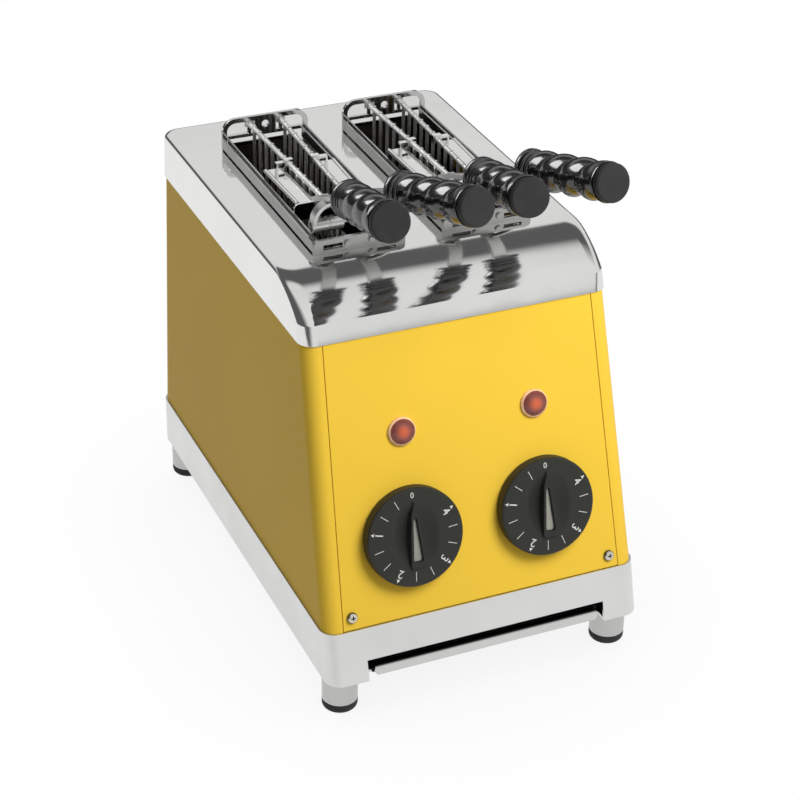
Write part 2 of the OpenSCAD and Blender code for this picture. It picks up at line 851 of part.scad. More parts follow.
module tong_grid(side, half) {
    hand = side * half;
    toes = half == outer ? [1, 5, 9] : [3, 7];
    toe_l = 6;
    // Depths by which the ends of wires and toes pass the axis of the bottom rod
    wire_lap = 0.6;
    toe_lap = 0.4;
    // Reach of the bottom rod past its end wires
    rod_over = 2;
    color(steel) translate([side * tong_pitch / 2 + hand * hinge_pitch / 2, y_hinge, rod_z])
        rotate([0, 0, -hand * grid_slant]) {
            difference() {
                union() {
                    translate([0, 0, -eye_h / 2]) cylinder(d = eye_d, h = eye_h);
                    rotate([90, 0, 0]) cylinder(d = rod_d, h = rod_l);
                }
                translate([0, 0, -eye_h]) cylinder(d = pin_d + 2 * fit_gap, h = 2 * eye_h);
            }
            translate([0, -first_wire + rod_over, -grid_h]) rotate([90, 0, 0])
                cylinder(d = rod_d, h = wire_step * (wire_n - 1) + 2 * rod_over);
            for (i = [0 : wire_n - 1])
                translate([0, -first_wire - i * wire_step, -grid_h - wire_lap])
                    cylinder(d = wire_d, h = wire_lap + grid_h + rod_d / 2 + 0.6);
            for (i = toes)
                if (i < wire_n)
                    translate([hand * toe_lap, -first_wire - i * wire_step, -grid_h])
                        rotate([0, -hand * 90, 0])
                        cylinder(d = wire_d, h = toe_lap + toe_l);
        }
}

module tong_wing(side, half) {
    clip_w = 3;
    wing_back = cross_back - wing_gap - wing_l;
    clip_gap = 0.5 + ceil((wing_back + clip_w / 2 - first_wire) / wire_step - 0.5);
    clip_back = first_wire + clip_gap * wire_step;
    clip_half = 2.6;
    strap = 1.2;
    wing_in = wire_d / 2 + 1.5;
    wing_out = wing_in + wing_w;
    arm_out = wing_in + 5;
    drop = rod_up - wing_up;
    bead_d = 2.6;
    color(polish) at_half(side, half) on_grid() {
        difference() {
            translate([-clip_half, -clip_back - clip_w / 2, -rod_d / 2 - 0.9])
                cube([2 * clip_half, clip_w, rod_d + 1.8]);
            translate([0, -clip_back + clip_w, 0]) rotate([90, 0, 0])
                cylinder(d = rod_d + fit_gap, h = 2 * clip_w);
        }
        translate([clip_half - 0.5, -clip_back - clip_w / 2, 0])
            cube([arm_out - clip_half + 0.5, clip_w, strap]);
        translate([arm_out - strap, -clip_back - clip_w / 2, -drop]) cube([strap, clip_w, drop + strap]);
        translate([wing_in, -wing_back - wing_l, -drop]) cube([wing_w, wing_l, wing_t]);
        translate([wing_out, -wing_back, -drop + wing_t / 2]) rotate([90, 0, 0])
            cylinder(d = bead_d, h = wing_l);
        translate([wing_out, -wing_back, -drop + wing_t / 2]) sphere(d = bead_d);
    }
}

// Straight beam of width w and thickness t from point a to point b
module beam(a, b, w, t) {
    d = b - a;
    rise = asin(d[2] / norm(d));
    yaw = atan2(d[0], -d[1]);
    translate(a) rotate([-rise, 0, yaw]) translate([-w / 2, -norm(d), -t / 2]) cube([w, norm(d), t]);
}

// Grip axis: origin where the shank ends, +Z along the grip
module on_grip() {
    translate(shank_to) rotate([90 - grip_rise, 0, grip_splay]) children();
}

module tong_shank(side, half) {
    block = [8, 8, rod_d + 2];
    block_back = cross_back + 4;
    color(steel) at_half(side, half) {
        difference() {
            union() {
                on_grid() translate([-rod_d / 2 - 1, -block_back - block[1], -block[2] / 2]) cube(block);
                beam(shank_from, shank_to, shank_w, shank_t);
            }
            on_grid() rotate([90, 0, 0]) cylinder(d = rod_d + fit_gap, h = rod_l + 0.5);
        }
        on_grip() cylinder(d = tang_d, h = tang_l);
        spring_barrel(half);
    }
}

// Barrel below a shank with the bow that carries it; the inner one holds a rod that runs in the outer one
module spring_barrel(half) {
    length = barrel_out - barrel_in;
    post_h = bow_mid[1] - barrel_z;
    difference() {
        union() {
            translate([0, y_hinge - barrel_fwd, barrel_z]) rotate([0, 90, 0]) translate([0, 0, barrel_in])
                cylinder(d = barrel_d, h = length);
            translate([bow_mid[0], y_hinge - barrel_fwd + bow_w / 2, bow_mid[1]]) rotate([90, 0, 0]) {
                rotate_extrude(angle = 90) translate([bow_r - bow_t, 0]) square([bow_t, bow_w]);
                translate([bow_r - bow_t, -post_h, 0]) cube([bow_t, post_h + 0.5, bow_w]);
            }
        }
        translate([0, y_hinge - barrel_fwd, barrel_z]) rotate([0, 90, 0]) {
            if (half == outer)
                translate([0, 0, barrel_in - past]) cylinder(d = barrel_bore, h = length + 2 * past);
            translate([0, 0, (barrel_in + barrel_out) / 2 - 1.5]) difference() {
                cylinder(d = barrel_d + 2, h = 0.8);
                translate([0, 0, -past]) cylinder(d = barrel_d - 0.6, h = 3);
            }
        }
    }
    if (half == inner)
        translate([0, y_hinge - barrel_fwd, barrel_z]) rotate([0, 90, 0]) translate([0, 0, -spring_rod_l])
            cylinder(d = spring_rod_d, h = spring_rod_l + barrel_in + 0.5);
}

module tong_grip(side, half) {
    wave = groove / 2;
    core_r = grip_d / 2 - wave;
    neck_r = core_r - 0.4;
    color(black) at_half(side, half) on_grip() difference() {
        union() {
            cylinder(r = grip_d / 2, h = 3);
            cylinder(r = neck_r, h = collar_l);
            for (z = [5, 9.6])
                translate([0, 0, z]) cylinder(r = grip_d / 2 - 0.6, h = 2.6);
            translate([0, 0, collar_l - 1])
                linear_extrude(spiral_l + 1, twist = side * half * 360 * grip_turns, slices = 44, $fn = 22)
                    translate([wave, 0]) circle(core_r);
            translate([0, 0, collar_l + spiral_l - 0.5])
                cylinder(r1 = core_r - 1, r2 = grip_d / 2, h = rim_l + 0.5);
        }
        translate([0, 0, -past]) cylinder(d = tang_d + fit_gap, h = tang_l + past + 0.5);
    }
}

module tong_cap(side, half) {
    color([0.22, 0.22, 0.22]) at_half(side, half) on_grip() translate([0, 0, grip_l - cap_t]) rotate_extrude()
        polygon([[0, 0], [cap_d / 2 - 0.6, 0], [cap_d / 2, 0.6], [cap_d / 2, cap_t - 0.8],
            [cap_d / 2 - 0.8, cap_t], [0, cap_t]]);
}

placed() base_frame();
placed() legs();
placed() rubber_feet();
placed() tray_runners();
placed() crumb_tray();
placed() side_panel(left);  // left_side_panel
placed() side_panel(right);  // right_side_panel
placed() back_panel();
placed() front_panel();
placed() front_screws();
placed() back_screws();
placed() top_cover();
placed() front_bulkhead();
placed() rear_bulkhead();
placed() reflector(left);  // left_reflector
placed() reflector(right);  // right_reflector
placed() quartz_tubes();
placed() ceramic_caps();
placed() timers();
placed() timer_shaft(left);  // left_timer_shaft
placed() timer_shaft(right);  // right_timer_shaft
placed() knob(left);  // left_knob
placed() knob(right);  // right_knob
placed() knob_pointer(left);  // left_knob_pointer
placed() knob_pointer(right);  // right_knob_pointer
placed() lamp_bezels();
placed() lamp_lenses();
placed() terminal_block();
placed() cable_gland();
placed() tong_hinge_plate(left);  // left_tong_hinge_plate
placed() tong_rails(left);  // left_tong_rails
placed() tong_front_plate(left);  // left_tong_front_plate
placed() tong_cross_plate(left);  // left_tong_cross_plate
placed() tong_grid(left, outer);  // left_tong_outer_grid
placed() tong_wing(left, outer);  // left_tong_outer_wing
placed() tong_shank(left, outer);  // left_tong_outer_shank
placed() tong_grip(left, outer);  // left_tong_outer_grip
placed() tong_cap(left, outer);  // left_tong_outer_cap
placed() tong_grid(left, inner);  // left_tong_inner_grid
placed() tong_wing(left, inner);  // left_tong_inner_wing
placed() tong_shank(left, inner);  // left_tong_inner_shank
placed() tong_grip(left, inner);  // left_tong_inner_grip
placed() tong_cap(left, inner);  // left_tong_inner_cap
placed() tong_hinge_plate(right);  // right_tong_hinge_plate
placed() tong_rails(right);  // right_tong_rails
placed() tong_front_plate(right);  // right_tong_front_plate
placed() tong_cross_plate(right);  // right_tong_cross_plate
placed() tong_grid(right, outer);  // right_tong_outer_grid
placed() tong_wing(right, outer);  // right_tong_outer_wing
placed() tong_shank(right, outer);  // right_tong_outer_shank
placed() tong_grip(right, outer);  // right_tong_outer_grip
placed() tong_cap(right, outer);  // right_tong_outer_cap
placed() tong_grid(right, inner);  // right_tong_inner_grid
placed() tong_wing(right, inner);  // right_tong_inner_wing
placed() tong_shank(right, inner);  // right_tong_inner_shank
placed() tong_grip(right, inner);  // right_tong_inner_grip
placed() tong_cap(right, inner);  // right_tong_inner_cap
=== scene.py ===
"""Looks of a two-slot toaster with removable bread tongs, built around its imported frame.

Lengths are in metres, +Z is up and the front looks along -Y.
"""

import json
import math

import bmesh
import bpy
from mathutils import Matrix, Vector


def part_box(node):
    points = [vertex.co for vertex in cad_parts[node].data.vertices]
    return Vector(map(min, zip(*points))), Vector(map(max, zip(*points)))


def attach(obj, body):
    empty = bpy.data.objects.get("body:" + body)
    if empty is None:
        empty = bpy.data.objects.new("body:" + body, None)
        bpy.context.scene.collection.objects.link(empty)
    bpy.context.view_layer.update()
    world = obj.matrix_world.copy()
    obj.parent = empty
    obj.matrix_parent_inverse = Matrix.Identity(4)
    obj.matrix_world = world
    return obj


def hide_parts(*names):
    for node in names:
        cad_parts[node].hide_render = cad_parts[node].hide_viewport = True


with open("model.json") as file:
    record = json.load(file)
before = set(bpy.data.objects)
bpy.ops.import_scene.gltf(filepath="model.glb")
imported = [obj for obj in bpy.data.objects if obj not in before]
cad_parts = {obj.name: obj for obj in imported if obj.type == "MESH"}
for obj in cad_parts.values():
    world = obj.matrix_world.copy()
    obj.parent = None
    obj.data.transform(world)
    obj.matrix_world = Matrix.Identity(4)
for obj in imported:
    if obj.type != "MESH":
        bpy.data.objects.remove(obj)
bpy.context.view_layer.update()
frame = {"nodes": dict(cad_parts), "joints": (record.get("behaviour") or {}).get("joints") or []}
nodes = frame["nodes"]
joints = {joint["name"]: joint for joint in frame["joints"]}

MM = 0.001
SIDES = {"left": -1, "right": 1}
HALVES = {"outer": 1, "inner": -1}


def pivot(joint):
    """A point on a joint's axis, at rest."""
    return Vector(joints[joint]["pos_m"])


# Places taken from the frame
base_low, base_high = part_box("base_frame")
cover_low, cover_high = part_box("top_cover")
REAR = base_high.y
FRONT = base_low.y
Z_BASE = base_low.z
Z_BODY = base_high.z
Z_SKIRT = cover_low.z
Z_LID = cover_high.z
HALF_BASE = base_high.x
HALF_COVER = cover_high.x
TONG_MID = (pivot("right_tong_outer_swing").x + pivot("right_tong_inner_swing").x) / 2
KNOB_SIDE = pivot("right_dial_turn").x
OUT = -Vector(joints["left_dial_turn"]["axis"])
ACROSS = Vector((1, 0, 0))
UP_PANEL = OUT.cross(ACROSS)
LEAN = math.atan2(OUT.z, -OUT.y)

# Sizes of the body's sheet metal: the panels stand inside the base's edge and fold round its corners
SHEET = 1 * MM
BODY_INSET = 1 * MM
CORNER_R = 9 * MM
FOLD_W = 10.2 * MM

# Sizes of the cover: it laps over the panels with an upright lip
COVER_T = 0.8 * MM
COVER_LAP = 6 * MM
COVER_LIP = 10.1 * MM
COVER_FLAT = 190 * MM
COVER_EDGE_R = 3 * MM
SLOT_L = 146 * MM
SLOT_HALF = 22 * MM
SLOT_R = 4 * MM
SLOT_MID = REAR - 107 * MM
Z_CREASE = Z_SKIRT + COVER_LIP
Z_PANEL_TOP = Z_SKIRT + COVER_LAP

# Sizes on the front panel, measured along it from the base's top edge and outward from its face
KNOB_UP = 47.2 * MM
KNOB_GAP = 0.8 * MM
KNOB_RIM = 7 * MM
KNOB_H = 8.4 * MM
KNOB_R = 28 * MM
SCOOP = 3.4 * MM
LAMP_SIDE = 39.2 * MM
LAMP_UP = 105.2 * MM
LENS_D = 2 * (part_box("lamp_lenses")[1].x - LAMP_SIDE)
LENS_FOOT = 0.4 * MM
SCREW_SIDE = 77.9 * MM
SCREW_UP = 7.7 * MM
SCREW_D = 6 * MM
SCREW_FOOT = SCREW_D / 6
SCREW_DOME = SCREW_D / 4

# Sizes of the grips: the shank's end is measured from the tong's middle and its hinge
SHANK_END = Vector((14.2 * MM, -165 * MM, 26 * MM))
GRIP_RISE = math.radians(16.6)
GRIP_SPLAY = math.radians(7)
GRIP_R = 10.8 * MM
GROOVE = 3.4 * MM
GRIP_TURNS = 3
THREAD_FROM = 14 * MM
THREAD_TO = 69.6 * MM


# Node trees

# Most of a noise texture lies between these values
NOISE_LOW = 0.3
NOISE_HIGH = 0.7

# Sockets of a Mix node that blends colours
MIX_SHARE = 0
MIX_FIRST = 6
MIX_SECOND = 7
MIX_RESULT = 2


class NodeTree:
    """Short forms for the node tree of a material or a world."""

    def __init__(self, owner):
        owner.use_nodes = True
        self.tree = owner.node_tree

    def node(self, kind, **inputs):
        """A new node, with values for its inputs; _ stands for a space in an input's name."""
        made = self.tree.nodes.new(kind)
        for socket, value in inputs.items():
            made.inputs[socket.replace("_", " ")].default_value = value
        return made

    def join(self, source, target):
        """Links an output to an input."""
        self.tree.links.new(source, target)

    def total(self, first, second):
        """Sum of two values."""
        made = self.node("ShaderNodeMath")
        made.operation = "ADD"
        self.join(first, made.inputs[0])
        self.join(second, made.inputs[1])
        return made.outputs["Value"]

    def remap(self, source, low, high, start=0, end=1):
        """Value that goes from low to high while the source goes from start to end."""
        mapped = self.node("ShaderNodeMapRange", From_Min=start, From_Max=end, To_Min=low, To_Max=high)
        self.join(source, mapped.inputs["Value"])
        return mapped.outputs["Result"]

    def ramp(self, source, stops):
        """Colour that runs through (place, colour) stops while the source goes from 0 to 1."""
        made = self.node("ShaderNodeValToRGB")
        elements = made.color_ramp.elements
        while len(elements) < len(stops):
            elements.new(0.5)
        for element, (place, colour) in zip(elements, stops):
            element.position = place
            element.color = (*colour, 1)
        self.join(source, made.inputs["Fac"])
        return made.outputs["Color"]

    def blend(self, share, first, second):
        """First colour where the share is 0, second where it is 1; a plain number stands for a grey."""
        mix = self.node("ShaderNodeMix")
        mix.data_type = "RGBA"
        self.join(share, mix.inputs[MIX_SHARE])
        for source, socket in ((first, mix.inputs[MIX_FIRST]), (second, mix.inputs[MIX_SECOND])):
            if isinstance(source, float):
                socket.default_value = (source, source, source, 1)
            else:
                self.join(source, socket)
        return mix.outputs[MIX_RESULT]


# Finishes

class Finish(NodeTree):
    """A procedural material: one Principled shader, and short forms that add texture to it."""

    def __init__(self, name, colour, roughness, **sockets):
        self.material = bpy.data.materials.new(name)
        super().__init__(self.material)
        self.shader = self.tree.nodes["Principled BSDF"]
        self.shader.inputs["Base Color"].default_value = (*colour, 1)
        self.shader.inputs["Roughness"].default_value = roughness
        for socket, value in sockets.items():
            self.shader.inputs[socket.replace("_", " ")].default_value = value

    def noise(self, per_metre, detail=2.0, stretch=(1, 1, 1)):
        """Noise in the object's own space, with about so many blotches to a metre."""
        coords = self.node("ShaderNodeTexCoord")
        mapping = self.node("ShaderNodeMapping", Scale=stretch)
        texture = self.node("ShaderNodeTexNoise", Scale=per_metre, Detail=detail)
        self.join(coords.outputs["Object"], mapping.inputs["Vector"])
        self.join(mapping.outputs["Vector"], texture.inputs["Vector"])
        return texture.outputs["Fac"]

    def place(self, axis):
        """The object's own coordinate along one axis, in metres."""
        coords = self.node("ShaderNodeTexCoord")
        parts = self.node("ShaderNodeSeparateXYZ")
        self.join(coords.outputs["Object"], parts.inputs["Vector"])
        return parts.outputs[axis]

    def axis_distance(self):
        """Distance from the object's own Z axis, in metres."""
        coords = self.node("ShaderNodeTexCoord")
        flat = self.node("ShaderNodeMapping", Scale=(1, 1, 0))
        length = self.node("ShaderNodeVectorMath")
        length.operation = "LENGTH"
        self.join(coords.outputs["Object"], flat.inputs["Vector"])
        self.join(flat.outputs["Vector"], length.inputs[0])
        return length.outputs["Value"]

    def colour_from(self, source, stops):
        """Base colour from a ramp."""
        self.join(self.ramp(source, stops), self.shader.inputs["Base Color"])

    def roughness_from(self, source):
        """Roughness from a value."""
        self.join(source, self.shader.inputs["Roughness"])

    def mottle(self, noise, dark, light):
        """Base colour that wanders between two colours."""
        self.colour_from(noise, ((NOISE_LOW, dark), (NOISE_HIGH, light)))

    def smear(self, noise, low, high):
        """Roughness that wanders between two values."""
        self.roughness_from(self.remap(noise, low, high, NOISE_LOW, NOISE_HIGH))

    def bump(self, source, depth, strength, edge=0.0):
        """Relief of the given depth, on edges softened by the radius edge."""
        made = self.node("ShaderNodeBump", Strength=strength, Distance=depth)
        self.join(source, made.inputs["Height"])
        if edge > 0:
            bevel = self.node("ShaderNodeBevel", Radius=edge)
            self.join(bevel.outputs["Normal"], made.inputs["Normal"])
        self.join(made.outputs["Normal"], self.shader.inputs["Normal"])


def linear(red, green, blue):
    """A screen colour, 0 to 255, as linear light."""
    return tuple(((c / 255 + 0.055) / 1.055) ** 2.4 for c in (red, green, blue))


def shades(colour, spread):
    """A colour a little darker and a little lighter."""
    return tuple(c * (1 - spread) for c in colour), tuple(c * (1 + spread) for c in colour)


ALONG_X = (0.02, 1, 1)


def bare_metal(name, colour, rough, grain=(1, 1, 1), fine=1500, depth=0.02 * MM):
    """Metal of one colour: smears in its gloss, and a fine grain that may be drawn out along one axis."""
    made = Finish(name, colour, rough[0], Metallic=1.0)
    made.smear(made.noise(per_metre=60, detail=4.0), *rough)
    made.bump(made.noise(per_metre=fine, stretch=grain), depth, strength=0.25, edge=0.3 * MM)
    return made


def steel(name, level, rough, **grain):
    """Bare steel, a little warmer than grey and faintly clouded."""
    warmth = 0.985
    colour = (level, level, level * warmth)
    made = bare_metal(name, colour, rough, **grain)
    made.mottle(made.noise(per_metre=14), *shades(colour, spread=0.03))
    return made


def tray_steel():
    """Crumb tray steel: its lip keeps the steel's own colour, and painted shade darkens the tray just
    inside the lip, for the shadow in the gap above it.
    """
    bare_tray = linear(206, 206, 204)
    tray_shade = linear(26, 24, 22)
    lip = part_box("crumb_tray")[0].y
    bare_tray_to = lip + 1.15 * MM
    tray_shade_from = lip + 1.45 * MM
    made = bare_metal("tray_steel", bare_tray, rough=(0.32, 0.45), grain=ALONG_X)
    # Painted shade: the tray turns dark a little inside its lip, standing for the shadow in the gap
    # above.
    behind = made.remap(made.place("Y"), 0, 1, bare_tray_to, tray_shade_from)
    made.colour_from(behind, ((0, bare_tray), (1, tray_shade)))
    return made


def screw_steel():
    """Bright screw heads, with painted shade round the rim and in the recess."""
    screw_shade = linear(58, 52, 44)
    bright = linear(214, 208, 196)
    bright_from = SCREW_FOOT + 0.75 * SCREW_DOME
    made = bare_metal("screw_steel", bright, rough=(0.2, 0.34), fine=2200)
    # Painted shade: the head is dark low down, round its rim and in the cross recess, and bright toward
    # its top.
    top = made.remap(made.place("Z"), 0, 1, SCREW_FOOT, bright_from)
    made.colour_from(top, ((0, screw_shade), (1, bright)))
    return made


def hot_steel():
    """Sheet that has been heated: dull, stained brown and black in clouds; its dark tone is also painted
    shade for the inside of the slots.
    """
    # Heat staining and painted shade: a dark colour for the parts inside the slots, which lie in shade.
    made = Finish("heat_stained_and_shaded_steel", linear(70, 64, 58), 0.55, Metallic=0.7)
    made.mottle(made.noise(per_metre=30, detail=5.0), linear(22, 20, 19), linear(58, 53, 48))
    made.smear(made.noise(per_metre=120, detail=3.0), 0.45, 0.7)
    made.bump(made.noise(per_metre=700), 0.03 * MM, strength=0.3)
    return made


def gold_paint():
    """Gold lacquer: fine metal flake below a clear satin coat."""
    colour = (0.86, 0.56, 0.055)
    warm_gloss = (1, 0.8, 0.3, 1)
    made = Finish(
        "gold_lacquer", colour, 0.42, Metallic=0.1, Specular_IOR_Level=0.1, Specular_Tint=warm_gloss)
    made.mottle(made.noise(per_metre=9, detail=4.0), *shades(colour, spread=0.025))
    made.smear(made.noise(per_metre=1800), 0.36, 0.48)
    made.bump(made.noise(per_metre=900, detail=3.0), 0.01 * MM, strength=0.15, edge=0.4 * MM)
    return made


def plastic(name, colour, rough, grain=2500, depth=0.03 * MM, **sockets):
    """Moulded plastic: a faint mottle and a fine moulded grain."""
    made = Finish(name, colour, rough[0], **sockets)
    made.mottle(made.noise(per_metre=90), *shades(colour, spread=0.08))
    made.smear(made.noise(per_metre=220, detail=3.0), *rough)
    made.bump(made.noise(per_metre=grain), depth, strength=0.3, edge=0.25 * MM)
    return made


def dial_plastic():
    """Dial moulding: dull grey black with a fine grain, smoother on its ridge, where a darker colour is
    painted shade.
    """
    face = linear(38, 38, 34)
    # Painted shade: a darker colour on the ridge and the upper part of its walls.
    ridge = linear(32, 32, 29)
    ridge_from = KNOB_RIM + 0.2 * MM
    ridge_full = KNOB_RIM + 0.8 * MM
    made = Finish("dial_plastic", face, 0.46, Specular_IOR_Level=0.34)
    raised = made.remap(made.place("Z"), 0, 1, ridge_from, ridge_full)
    made.colour_from(raised, ((0, face), (1, ridge)))
    made.roughness_from(made.remap(raised, 0.5, 0.3))
    made.bump(made.noise(per_metre=2500), 0.03 * MM, strength=0.3, edge=0.25 * MM)
    return made


def quartz():
    """Frosted quartz glass."""
    made = Finish("frosted_quartz", linear(232, 230, 224), 0.3, Transmission_Weight=0.35, IOR=1.46)
    made.smear(made.noise(per_metre=200), 0.22, 0.4)
    made.bump(made.noise(per_metre=1200), 0.02 * MM, strength=0.3)
    return made


def lamp_lens():
    """Red lens: a lit orange middle that fades to brown red near its rim."""
    stops = (
        (0, linear(206, 90, 46)),
        (0.34, linear(184, 84, 50)),
        (0.6, linear(132, 64, 52)),
        (0.86, linear(104, 44, 38)),
        (1, linear(142, 62, 48)),
    )
    made = Finish("red_lens", linear(150, 66, 58), 0.18, Coat_Weight=0.2, Coat_Roughness=0.08)
    made.colour_from(made.remap(made.axis_distance(), 0, 1, 0, LENS_D / 2), stops)
    made.smear(made.noise(per_metre=900), 0.12, 0.26)
    return made


def rubber():
    """Matt black rubber."""
    made = Finish("black_rubber", linear(34, 34, 34), 0.75)
    made.mottle(made.noise(per_metre=260, detail=3.0), linear(24, 24, 24), linear(44, 44, 44))
    made.bump(made.noise(per_metre=1800), 0.05 * MM, strength=0.5)
    return made


def ceramic():
    """Unglazed cream ceramic."""
    made = Finish("ceramic", linear(226, 218, 202), 0.6)
    made.mottle(made.noise(per_metre=180, detail=4.0), linear(208, 198, 180), linear(236, 230, 216))
    made.bump(made.noise(per_metre=1500), 0.04 * MM, strength=0.4)
    return made


GLOSS = {"Coat_Weight": 0.8, "Coat_IOR": 1.55, "Coat_Roughness": 0.1}

# By the record's material slots
FINISHES = {
    "satin_steel": steel("satin_steel_sheet", level=0.7, rough=(0.3, 0.4), grain=ALONG_X),
    "gold_paint": gold_paint(),
    "mirror_steel": steel("polished_steel", level=0.74, rough=(0.06, 0.11), fine=240, depth=0.0006 * MM),
    "rubber": rubber(),
    "plain_steel": hot_steel(),
    "quartz": quartz(),
    "ceramic": ceramic(),
    "timer_case": plastic("timer_plastic", linear(70, 70, 68), rough=(0.5, 0.6)),
    "dial_black": dial_plastic(),
    "pointer_grey": plastic("pointer_plastic", linear(146, 146, 136), rough=(0.4, 0.5), grain=1200),
    "lamp_bezel": plastic("pale_bezel", linear(226, 184, 142), rough=(0.15, 0.25), Coat_Weight=0.3),
    "lamp_lens": lamp_lens(),
    "gland_black": plastic("gland_nylon", linear(40, 40, 40), rough=(0.5, 0.6)),
    "grip_black": plastic(
        "gloss_grip", linear(12, 12, 12), rough=(0.2, 0.28), grain=400, depth=0.005 * MM, **GLOSS),
    "cap_black": plastic("matt_cap", linear(36, 36, 36), rough=(0.62, 0.75), grain=1600, depth=0.05 * MM),
    "bright_steel": steel("bright_steel_wire", level=0.6, rough=(0.08, 0.15), fine=2200),
}

# By the endings of node names, in place of their slot's finish
NODE_FINISHES = (
    (("crumb_tray",), tray_steel()),
    # Painted shade: a darker copy of the steel for the legs, which stand in the shade under the body.
    (("legs",), steel("shaded_leg_steel", level=0.5, rough=(0.3, 0.4))),
    (("_grid", "_shank"), steel("grid_wire", level=0.72, rough=(0.32, 0.46), fine=2200)),
    # Painted shade: a darker copy of the steel for the tongs' rails and front plates, which lie in shade
    # round the slots.
    (("_rails", "_front_plate"), steel("shaded_rail_steel", level=0.46, rough=(0.16, 0.28), fine=1800)),
)
PRINT = plastic("dial_print", linear(208, 208, 202), rough=(0.5, 0.6), depth=0.01 * MM)

for cad_name, cad_node in nodes.items():
    material_slot = cad_node.material_slots[0]
    cad_finish = FINISHES[material_slot.material.name]
    for endings, node_finish in NODE_FINISHES:
        if cad_name.endswith(endings):
            cad_finish = node_finish
    material_slot.material = cad_finish.material


# Mesh helpers

def add_piece(name, mesh, slot, body, place=None, replaced=(), finish=None):
    """Links a mesh as a piece that rides on a body and stands for the replaced nodes."""
    piece = bpy.data.objects.new(name, mesh)
    bpy.context.scene.collection.objects.link(piece)
    mesh.materials.append((finish or FINISHES[slot]).material)
    if place is not None:
        piece.matrix_world = place
    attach(piece, body)
    if replaced:
        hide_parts(*replaced)
    return piece


def to_mesh(name, shape, smooth=True):
    """Mesh of a shape, with its faces turned outward; the shape is used up."""
    bmesh.ops.recalc_face_normals(shape, faces=shape.faces)
    for face in shape.faces:
        face.smooth = smooth
    mesh = bpy.data.meshes.new(name)
    shape.to_mesh(mesh)
    shape.free()
    return mesh


def soften(piece, thickness=0.0):
    """Gives a sheet its thickness, and lets its large flat faces keep flat shading."""
    if thickness > 0:
        solid = piece.modifiers.new("thickness", "SOLIDIFY")
        solid.thickness = thickness
        solid.offset = -1
    split = piece.modifiers.new("edges", "EDGE_SPLIT")
    split.split_angle = math.radians(32)
    weighted = piece.modifiers.new("flat_faces", "WEIGHTED_NORMAL")
    weighted.weight = 100
    weighted.keep_sharp = True


def bridge(shape, lower, upper, closed=True):
    """Quads between two rows of as many vertices."""
    count = len(lower)
    for i in range(count if closed else count - 1):
        j = (i + 1) % count
        shape.faces.new((lower[i], lower[j], upper[j], upper[i]))


def stack(shape, rows):
    """Solid from closed rows of vertices, with a flat face on each end."""
    for lower, upper in zip(rows, rows[1:]):
        bridge(shape, lower, upper)
    for row in (rows[0], rows[-1]):
        shape.faces.new(row)


def lathe(profile, steps):
    """Solid of revolution about Z from (radius, height) points that start and end on the axis."""
    shape = bmesh.new()
    turns = [2 * math.pi * i / steps for i in range(steps)]
    rows = []
    for radius, height in profile[1:-1]:
        ring = [(radius * math.cos(turn), radius * math.sin(turn), height) for turn in turns]
        rows.append([shape.verts.new(point) for point in ring])
    for lower, upper in zip(rows, rows[1:]):
        bridge(shape, lower, upper)
    for row, (_, height) in ((rows[0], profile[0]), (rows[-1], profile[-1])):
        tip = shape.verts.new((0, 0, height))
        for i in range(steps):
            shape.faces.new((row[i], row[(i + 1) % steps], tip))
    return shape


def frame_at(origin, x, y, z):
    """Matrix of a local frame from its origin and axes."""
    return Matrix((
        (x[0], y[0], z[0], origin[0]),
        (x[1], y[1], z[1], origin[1]),
        (x[2], y[2], z[2], origin[2]),
        (0, 0, 0, 1),
    ))


PANEL_FOOT = pivot("right_dial_turn") - ACROSS * KNOB_SIDE - UP_PANEL * KNOB_UP
PANEL_FACE = -BODY_INSET * math.cos(LEAN)


def on_front(across, up, out):
    """Frame on the front panel: x across, y up the slope, z outward from the panel's face."""
    origin = PANEL_FOOT + ACROSS * across + UP_PANEL * up + OUT * (PANEL_FACE + out)
    return frame_at(origin, ACROSS, UP_PANEL, OUT)


# Body sheet metal

def half_at(z):
    """Half the body's width at a level; it narrows from the base to the cover."""
    return HALF_BASE - (z - Z_BODY) * (HALF_BASE - HALF_COVER) / (Z_SKIRT - Z_BODY)


def front_at(z):
    """Where the sloped front stands at a level."""
    return FRONT + (z - Z_BASE) * math.tan(LEAN)


# The cover's front is an arc that meets the flat top smoothly
CURVE_DROP = Z_LID - Z_CREASE
CURVE_RUN = REAR - COVER_FLAT - front_at(Z_CREASE)
CURVE_R = (CURVE_RUN ** 2 + CURVE_DROP ** 2) / (2 * CURVE_DROP)
CURVE_END = math.asin(CURVE_RUN / CURVE_R)


def edge_step(z):
    """How far the cover's rounded top edge has drawn in at a level."""
    rise = z - Z_LID + COVER_EDGE_R
    if rise <= 0:
        return 0
    return COVER_EDGE_R - math.sqrt(max(0, COVER_EDGE_R ** 2 - rise ** 2))


def rounded_plan(half, front, rear, radius, steps):
    """Corner by corner outline of a rounded rectangle."""
    points = []
    corners = ((half, rear, 0), (-half, rear, 90), (-half, front, 180), (half, front, 270))
    for x, y, start in corners:
        centre_x = x - math.copysign(radius, x)
        centre_y = y - radius if y == rear else y + radius
        for i in range(steps + 1):
            turn = math.radians(start + 90 * i / steps)
            points.append((centre_x + radius * math.cos(turn), centre_y + radius * math.sin(turn)))
    return points


def cover_levels(steps):
    """Pairs of a level and the cover's front there, from the skirt up the curve to the flat top."""
    levels = [(Z_SKIRT, front_at(Z_SKIRT)), (Z_CREASE, front_at(Z_CREASE))]
    for i in range(1, steps + 1):
        turn = CURVE_END * (1 - i / steps)
        drop = CURVE_R * (1 - math.cos(turn))
        run = CURVE_R * math.sin(turn)
        levels.append((Z_LID - drop, REAR - COVER_FLAT - run))
    return levels


